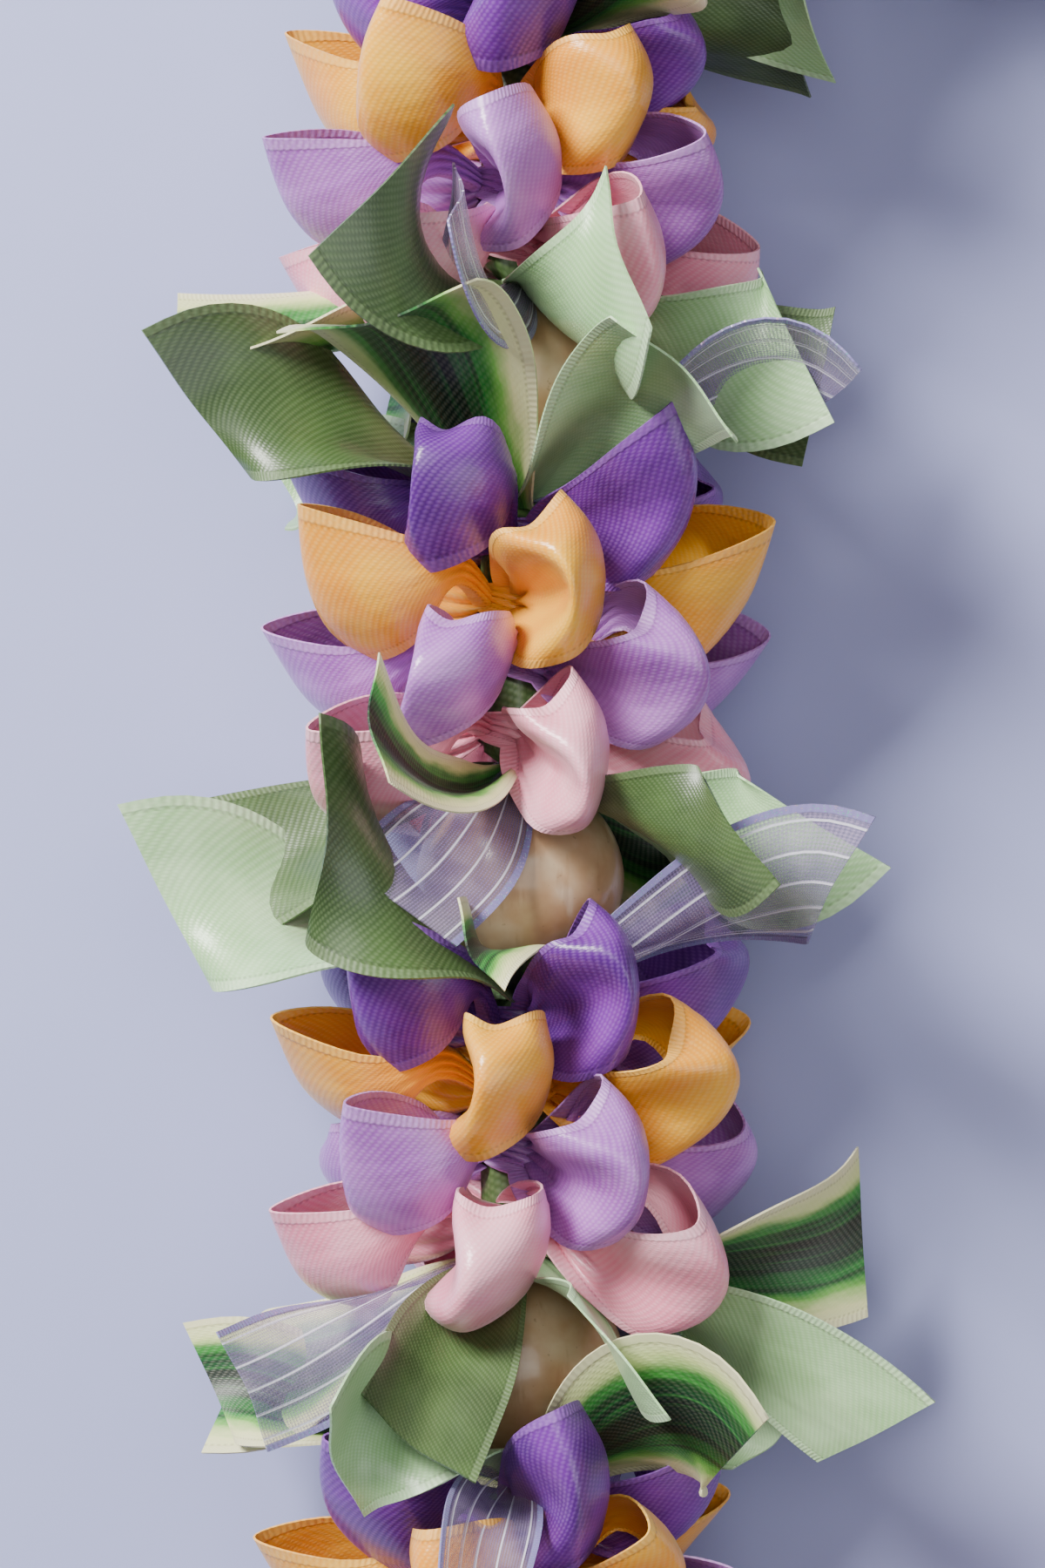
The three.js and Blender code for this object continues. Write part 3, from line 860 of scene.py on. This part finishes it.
@dataclass(frozen=True)
class Leaf:
    """One cut length of ribbon in a spray."""

    cloth: Cloth
    turn: float
    reach: float
    rise: float
    roll: float
    width: float
    cut: float = 6.0
    cup: float = 4.0
    curl: float = 3.0
    bow: float = 8.5
    root: float = 2.6
    root_roll: float = 75.0
    root_width: float = 0.26
    gathers: int = 3
    gather_depth: float = 1.5
    slant: float = 0.12
    ripple: float = 1.1

    def fold(self, s: float, away: int) -> Fold:
        """Makes the leaf's shape.

        Args:
            s: where along the cord its spray is bound.
            away: 1 where the leaf bows clear of the petals towards the bloom's top, and -1 where it
                bows towards its bottom.

        Returns:
            A function from along and across the ribbon to its place, in metres.
        """
        out, side = directions(self.turn)
        far = STRAND.pressed(self.reach, self.turn, s)
        slant = self.slant if int(self.turn + self.reach) % 2 else -self.slant
        along = Vector((0, 1, 0))
        nodes = [
            out * self.root, out * far * 0.3 + along * away * 2,
            out * far * 0.75 + along * (away * self.bow + self.rise * 0.3), out * far + along * self.rise]

        def place(u: float, v: float) -> Vector:
            """Returns the place of a point of the leaf."""
            a, b, c, d = nodes
            centre = a * (1 - u) ** 3 + b * 3 * u * (1 - u) ** 2 + c * 3 * u * u * (1 - u) + d * u ** 3
            ahead = (b - a) * (1 - u) ** 2 + (c - b) * 2 * u * (1 - u) + (d - c) * u * u
            ahead.normalize()
            turned = math.radians(self.roll + (self.root_roll - self.roll) * (1 - smoothstep(u, 0.2, 1)))
            across = along * math.cos(turned) + side * math.sin(turned)
            across = (across - ahead * across.dot(ahead)).normalized()
            face = ahead.cross(across).normalized()
            wide = v - 0.5
            broad = self.root_width + (1 - self.root_width) * smoothstep(u, -0.08, 0.7)
            half = self.width * broad * wide
            gathers = self.gather_depth * math.cos(self.gathers * math.tau * v)
            gathers *= max(0.0, 1 - 1.7 * u) ** 1.5
            gathers *= min(1.0, 0.3 + u * 8)
            trough = math.cos(math.pi * (wide - slant * (1 - u))) ** 2 - 0.5
            cup = self.cup * trough * (1.6 - u) * min(1.0, u * 3)
            wave = self.ripple * math.sin(5.0 * u + self.turn) * wide * 2 * smoothstep(u, 0.1, 0.6)
            lifted = cup + gathers + wave + self.curl * u ** 2.5
            point = centre + across * half + face * lifted + ahead * (self.cut * wide * u ** 2)
            point.z = STRAND.rested(point.z)
            return STRAND.carry(s, point)

        return place


LeafRow = tuple[Cloth | float, ...]


@dataclass
class LeafSpray:
    """The ribbon leaves bound at both ends of one bloom, each as the row of its values."""

    top: tuple[LeafRow, ...]
    bottom: tuple[LeafRow, ...]
    knot: float = 18.4
    steps: int = 12
    across: int = 6

    def build(self, number: str, middle: float, node: str) -> None:
        """Builds the spray's ribbons, one piece for each kind of cloth.

        Args:
            number: the bloom's number.
            middle: the bloom's middle along the cord.
            node: the solid that the leaves stand for.
        """
        for cloth in Cloth:
            mesh = bmesh.new()
            length = 0.0
            for rows, away in ((self.top, 1), (self.bottom, -1)):
                for leaf in (Leaf(*row) for row in rows):
                    if leaf.cloth is cloth:
                        shape = leaf.fold(middle + away * self.knot, away)
                        run = add_ribbon(mesh, self.steps, self.across, shape, leaf.width)
                        length += run
            if not length:
                mesh.free()
                continue
            piece = piece_from(mesh, f"{cloth.value}_leaves_{number}", CLOTH_FINISH[cloth])
            thicken(piece)
            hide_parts(node)


@dataclass
class Binding:
    """The gathered ribbon ends that are bound round the cord inside a bloom."""

    end: float = 19.0
    radius: float = 5.4
    neck: float = 3.2
    bore: float = 1.3
    pleats: int = 9
    pleat_depth: float = 0.45
    sides: int = 36
    rings: int = 14

    def build(self, number: str, middle: float, node: str) -> None:
        """Builds the pleated core.

        Args:
            number: the bloom's number.
            middle: the bloom's middle along the cord.
            node: the solid that it stands for.
        """
        def shape(u: float, v: float) -> Vector:
            """Returns a point of the core, from how far it is round and along."""
            y = (v - 0.5) * 2 * self.end
            swell = smoothstep(self.end - abs(y), 0.0, 4.0)
            reach = self.neck + (self.radius - self.neck) * swell
            reach += self.pleat_depth * math.cos(u * math.tau * self.pleats + 2 * v) * (1 - 0.6 * swell)
            if v in (0.0, 1.0):
                reach = self.bore
            return STRAND.carry(middle, round_strand(u * math.tau, reach, y))

        mesh = bmesh.new()
        add_grid(mesh, self.sides, self.rings,
                 lambda u, v: (v * 2 * self.end / LEAF_WIDTH, 0.2 + 0.6 * u), shape)
        join_points(mesh)
        bmesh.ops.recalc_face_normals(mesh, faces=mesh.faces)
        piece = piece_from(mesh, f"binding_{number}", CLOTH_FINISH[Cloth.MOSS])
        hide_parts(node)


@dataclass
class Nut:
    """A polished kukui nut, bored along the strand."""

    radius: float = 14.6
    half_length: float = 14.2
    bore: float = 1.6
    lobes: Pair = (0.25, 0.2)
    lobe_depth: float = 0.012
    flattening: float = 0.02
    skew: float = 0.015
    sides: int = 48
    rings: int = 28

    def build(self, number: str, s: float) -> None:
        """Builds the nut with its faint lobes.

        Args:
            number: the nut's number.
            s: its middle along the cord.
        """
        draw = seeded_draw(int(number) * 91 + 7)
        tilt, lobe = draw() * math.tau, self.lobes[0] + self.lobes[1] * draw()
        start = math.asin(self.bore / self.radius)

        def shape(u: float, v: float) -> Vector:
            """Returns a point of the shell, from how far it is round and along."""
            polar = start + (math.pi - 2 * start) * v
            angle = u * math.tau
            reach = self.radius * math.sin(polar)
            reach *= 1 - self.lobe_depth * lobe * (1 + math.cos(2 * (angle - tilt))) * math.sin(polar)
            reach *= 1 - self.flattening * max(0.0, math.cos(polar)) ** 2
            y = -self.half_length * math.cos(polar) * (1 + self.skew * math.cos(angle - tilt))
            return STRAND.carry(s, round_strand(angle, reach, y))

        mesh = bmesh.new()
        add_grid(mesh, self.sides, self.rings, lambda u, v: (u, v), shape)
        join_points(mesh)
        bmesh.ops.recalc_face_normals(mesh, faces=mesh.faces)
        piece = piece_from(mesh, f"kukui_nut_{number}", NutShell("kukui_shell"))
        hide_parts(f"nut_{number}")


@dataclass
class Cord:
    """The cord, with the knot that closes it and its two short ends."""

    radius: float = 0.9
    end: float = 9.0
    drawn_in: float = 0.35
    twist: float = 0.6
    steps: int = 240
    end_steps: int = 6
    sides: int = 10
    knot_turns: float = 2.0
    knot_radius: float = 1.7
    knot_length: float = 3.2
    knot_steps: int = 48

    def tube(self, mesh: Mesh, path: Sequence[Vector]) -> None:
        """Adds a tube along a path, drawn in at both ends."""
        steps = len(path) - 1

        def shape(u: float, v: float) -> Vector:
            """Returns a point of the tube, from how far it is along and round."""
            i = round(u * steps)
            ahead = (path[min(i + 1, steps)] - path[max(i - 1, 0)]).normalized()
            side = ahead.cross(Vector((0, 0, 1))).normalized()
            up = side.cross(ahead)
            reach = self.radius * MM * (self.drawn_in if i in (0, steps) else 1)
            return path[i] + (side * math.cos(v * math.tau) + up * math.sin(v * math.tau)) * reach

        add_grid(mesh, steps, self.sides, lambda u, v: (u * steps * self.twist, v), shape)

    def build(self) -> None:
        """Builds the cord."""
        mesh = bmesh.new()
        line = [STRAND.carry(STRAND.length * i / self.steps, Vector()) for i in range(self.steps + 1)]
        self.tube(mesh, line)
        middle = STRAND.carry(0, Vector())
        for way in (-1, 1):
            tip = STRAND.carry(way * self.end * 0.7, Vector((-self.end * 0.5, 0, 4)))
            self.tube(mesh, [middle.lerp(tip, i / self.end_steps) for i in range(self.end_steps + 1)])
        loops = []
        for i in range(self.knot_steps + 1):
            t = i / self.knot_steps
            angle = t * math.tau * self.knot_turns
            point = round_strand(angle, self.knot_radius, (t - 0.5) * self.knot_length)
            loops.append(STRAND.carry(0, point))
        self.tube(mesh, loops)
        join_points(mesh)
        bmesh.ops.holes_fill(mesh, edges=mesh.edges, sides=0)
        bmesh.ops.recalc_face_normals(mesh, faces=mesh.faces)
        piece = piece_from(mesh, "threading_cord", TwistedCord("cotton_cord"))
        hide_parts("cord")


@dataclass
class Lei:
    """The whole lei: blooms of four rows and two sprays, in four layouts, with nuts between."""

    row_pitch: float = 9.0
    leans: tuple[float, ...] = (15.0, 5.0, -5.0, -15.0)
    # Each layout's rows from the top of the bloom
    petal_turns: tuple[tuple[tuple[float, ...], ...], ...] = (
        ((-78, -8, 64, 136, 208), (-112, -42, 30, 100, 172),
         (-78, -6, 64, 136, 208), (-112, -42, 34, 102, 172)),
        ((-98, -28, 46, 118, 190), (-62, 9, 83, 154, 226),
         (-98, -27, 48, 118, 190), (-62, 14, 84, 154, 226)),
        ((-48, 25, 97, 168, 240), (-84, -11, 61, 132, 204),
         (-48, 27, 98, 168, 240), (-84, -14, 59, 132, 204)),
        ((-60, 12, 84, 156, 228), (-96, -24, 50, 120, 192),
         (-60, 12, 86, 156, 228), (-96, -24, 50, 120, 192)),
    )

    def build(self) -> None:
        """Builds every bloom, nut and the cord."""
        Cord().build()
        for index in range(STRAND.blooms):
            number = f"{index + 1:02d}"
            layout = (STRAND.blooms + 7 - index) % len(SPRAYS)
            middle = STRAND.pitch * (index + 0.5)
            draw = seeded_draw(101 + 37 * layout)
            Binding().build(number, middle, f"leaves_{number}")
            for place, row in enumerate(Row):
                along = (1.5 - place) * self.row_pitch
                ring = PetalRing(row, along, self.leans[place], self.petal_turns[layout][place])
                # One solid stands for the lilac and the pink row together
                node = "lilac_pink" if row in (Row.LILAC, Row.PINK) else row.value
                slot = "lilac_satin" if row is Row.PINK else f"{row.value}_satin"
                piece = ring.build(f"{row.value}_petals_{number}", middle, draw, slot)
                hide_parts(f"petals_{node}_{number}")
            SPRAYS[layout].build(number, middle, f"leaves_{number}")
            if index:
                Nut().build(f"{index:02d}", STRAND.pitch * index)
            log.info("bloom %s", number)


MOSS, PALE, PRINT, ORGANZA = Cloth
# Each leaf's cloth, turn, reach, rise, roll and width, then its cut, cup, curl and bow where they differ
SPRAYS = (
    LeafSpray(top=(
        (PALE, -109, 42, 18, 15, 20, 6, 4, 3, 12.5), (MOSS, -44, 40, 14, 12, 22, 8, 5, 10, 14.5),
        (ORGANZA, -31, 34, 14, 75, 20, 6, 4, -1, 10.5), (PRINT, 24, 48, 19, 20, 26, 8, 4, 2, 10.5),
        (MOSS, 96, 46, 17, 20, 24, -8, 4, 3, 10.5), (PALE, 168, 28, 10, 50, 18, 6, 4, 3, 10.5),
        (ORGANZA, 240, 36, 10, 20, 22, 6, 4, 5, 10.5),
    ), bottom=(
        (PRINT, -82, 46, -4, 66, 22, 6, 8, 5, 7.5), (MOSS, -26, 45, 8, -18, 27, 10, -2, -3, 10.5),
        (ORGANZA, -10, 42, 6, 0, 18, 2, -3, 1, 14.5), (PALE, 16, 42, -1, 0, 24, 14, 3, -2, 19.5),
        (PALE, 76, 40, -10, 0, 24, 6, 2, 3, 15.5), (MOSS, 88, 42, -14, 20, 22, 6, 4, 3, 10.5),
        (PALE, 145, 34, -8, -35, 20, 6, 2, 5), (PRINT, 215, 35, -8, 20, 22, 6, -2),
    )),
    LeafSpray(top=(
        (PALE, -130, 46, 4, 30, 22, 6, 6, 1, 10.5), (MOSS, -66, 48, 12, -12, 25, 4, 3, 2, 16.5),
        (PRINT, -28, 39, 20, 94, 30, 4, 4, -2, 19.5), (PALE, 32, 45, 17, 50, 23, -6, -4, 5, 12.5),
        (ORGANZA, 68, 45, 13, 40, 18, 4, -3, -3, 24.5), (MOSS, 150, 38, 10, 58, 20, 6, 4, 1),
    ), bottom=(
        (MOSS, -84, 40, -13, 20, 22, 6, 4, 3, 6.5), (ORGANZA, -23, 32, -15, 40, 20, 6, 0, 7),
        (PRINT, -21, 40, 5, 5, 13, 12, 4, 5), (MOSS, 43, 46, -10, 0, 21, -8, 3, 4, 12.5),
        (PALE, 71, 43, -8, 8, 24, -4, 3, 3, 17.5), (PRINT, 133, 36, -8, 10, 20, 6, 4, 5, 14.5),
        (ORGANZA, 200, 31, -8, 30, 20, 6, 4, 3, 4.5),
    )),
    LeafSpray(top=(
        (PALE, -77, 50, 13, 5, 28, 6, 4, 3, 12.5), (MOSS, -38, 43, 21, -14, 29, 14, -5, 0, 12.5),
        (PRINT, -7, 32, 7, 40, 12, -8), (ORGANZA, 61, 50, 15, 20, 21, 8, 4, 2, 14.5),
        (PRINT, 130, 44, 12, 10, 20, 6, 4, 3, 14.5), (PALE, 197, 31, 10, 68, 20, 6, 0, -4),
        (ORGANZA, 209, 38, 10, 0, 18, 6, 4, 7, 10.5),
    ), bottom=(
        (PRINT, -89, 40, -15, 23, 21, -4, 4, 11, 12.5), (ORGANZA, -52, 45, -17, 2, 18, 3, -3, 2),
        (MOSS, -23, 36, -23, 45, 19, -6, 4, 0), (PALE, 27, 36, -10, 25, 20, -8, -1, 4),
        (PRINT, 90, 49, 2, 4, 20, 14, -2, -9), (PALE, 84, 49, -25, 20, 21, 6, 2, -1, 6.5),
        (MOSS, 193, 30, -8, 38, 20),
    )),
    LeafSpray(top=(
        (PRINT, -94, 44, 16, 20, 21, 6, 4, 3, 12.5), (PALE, -31, 41, 6, -5, 24, -6, 4, 3, 20.5),
        (ORGANZA, -8, 44, -16, 26, 14, 4, 3, 1, 6.5), (PRINT, 41, 43, 6, 12, 27, 6, 0, -2, 16.5),
        (MOSS, 112, 50, 19, -20, 22, 6, 4, -12, 16.5), (PALE, 124, 36, 6, 8, 11, 6, 4, 14),
        (MOSS, 187, 31, 11, 30, 20, 6, 4, 5),
    ), bottom=(
        (PALE, -59, 48, -11, 20, 20, 6, -4, 6, 15.5), (PRINT, -42, 36, -5, 15, 18, -6, 4, 8),
        (ORGANZA, 13, 40, -1, 15, 14), (MOSS, 37, 42, -10, -19, 24, 10, 4, 10, 10.5),
        (PALE, 103, 44, -8, 12, 24, -8, 0, 12), (ORGANZA, 164, 34, -8, 20, 20, 6, 0),
        (PRINT, 238, 33, -11, -5, 22),
    )),
)


@dataclass
class Studio:
    """The camera over one side of the lei, the soft lights and the table."""

    target: Triple = (-68.8, 8.2, 30.0)
    distance: float = 620.0
    tilt: float = 3.0
    frame_height: float = 220.0
    sensor: float = 36.0
    sky: tuple[float, float, float, float] = (0.78, 0.8, 0.9, 1)
    sky_strength: float = 0.13
    table_size: float = 3.0

    def camera(self) -> None:
        """Sets the camera looking down, with the top of the view further away."""
        data = bpy.data.cameras.new("camera")
        data.sensor_width = self.sensor
        data.lens = self.sensor * self.distance / self.frame_height
        data.clip_end = 50
        made = add_object("camera", data)
        angle = math.radians(self.tilt)
        look = Vector((0, math.sin(angle), -math.cos(angle)))
        made.location = (Vector(self.target) - look * self.distance) * MM
        made.rotation_euler = look.to_track_quat("-Z", "Y").to_euler()
        bpy.context.scene.camera = made

    def lamp(self, name: str, place: Triple, size: float, power: float,
             tint: Triple = (1, 1, 1)) -> None:
        """Adds a soft square light that faces the lei."""
        data = bpy.data.lights.new(name, "AREA")
        data.shape = "SQUARE"
        data.size = size
        data.energy = power
        data.color = tint
        made = add_object(name, data)
        made.location = place
        made.rotation_euler = (-Vector(place)).to_track_quat("-Z", "Y").to_euler()

    def build(self) -> None:
        """Builds the studio."""
        self.camera()
        self.lamp("key", (-0.7, 0.6, 0.8), 0.4, 34.0, (1.0, 0.98, 0.95))
        self.lamp("fill", (0.9, -0.5, 0.7), 0.8, 4.5, (0.93, 0.95, 1.0))
        self.lamp("top", (0.0, 0.1, 1.4), 0.9, 6.0)
        world = bpy.data.worlds.new("studio")
        world.use_nodes = True
        background = world.node_tree.nodes["Background"]
        background.inputs[0].default_value = self.sky
        background.inputs[1].default_value = self.sky_strength
        bpy.context.scene.world = world
        mesh = bmesh.new()
        bmesh.ops.create_grid(mesh, x_segments=1, y_segments=1, size=self.table_size)
        data = bpy.data.meshes.new("table_top")
        mesh.to_mesh(data)
        mesh.free()
        data.materials.append(TableTop("pale_table").material())
        floor = add_object("table_top", data)


def main() -> None:
    """Builds the studio and the lei."""
    logging.basicConfig(level=logging.INFO, format="%(name)s %(message)s")
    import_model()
    Studio().build()
    Lei().build()


if __name__ == "__main__":
    main()
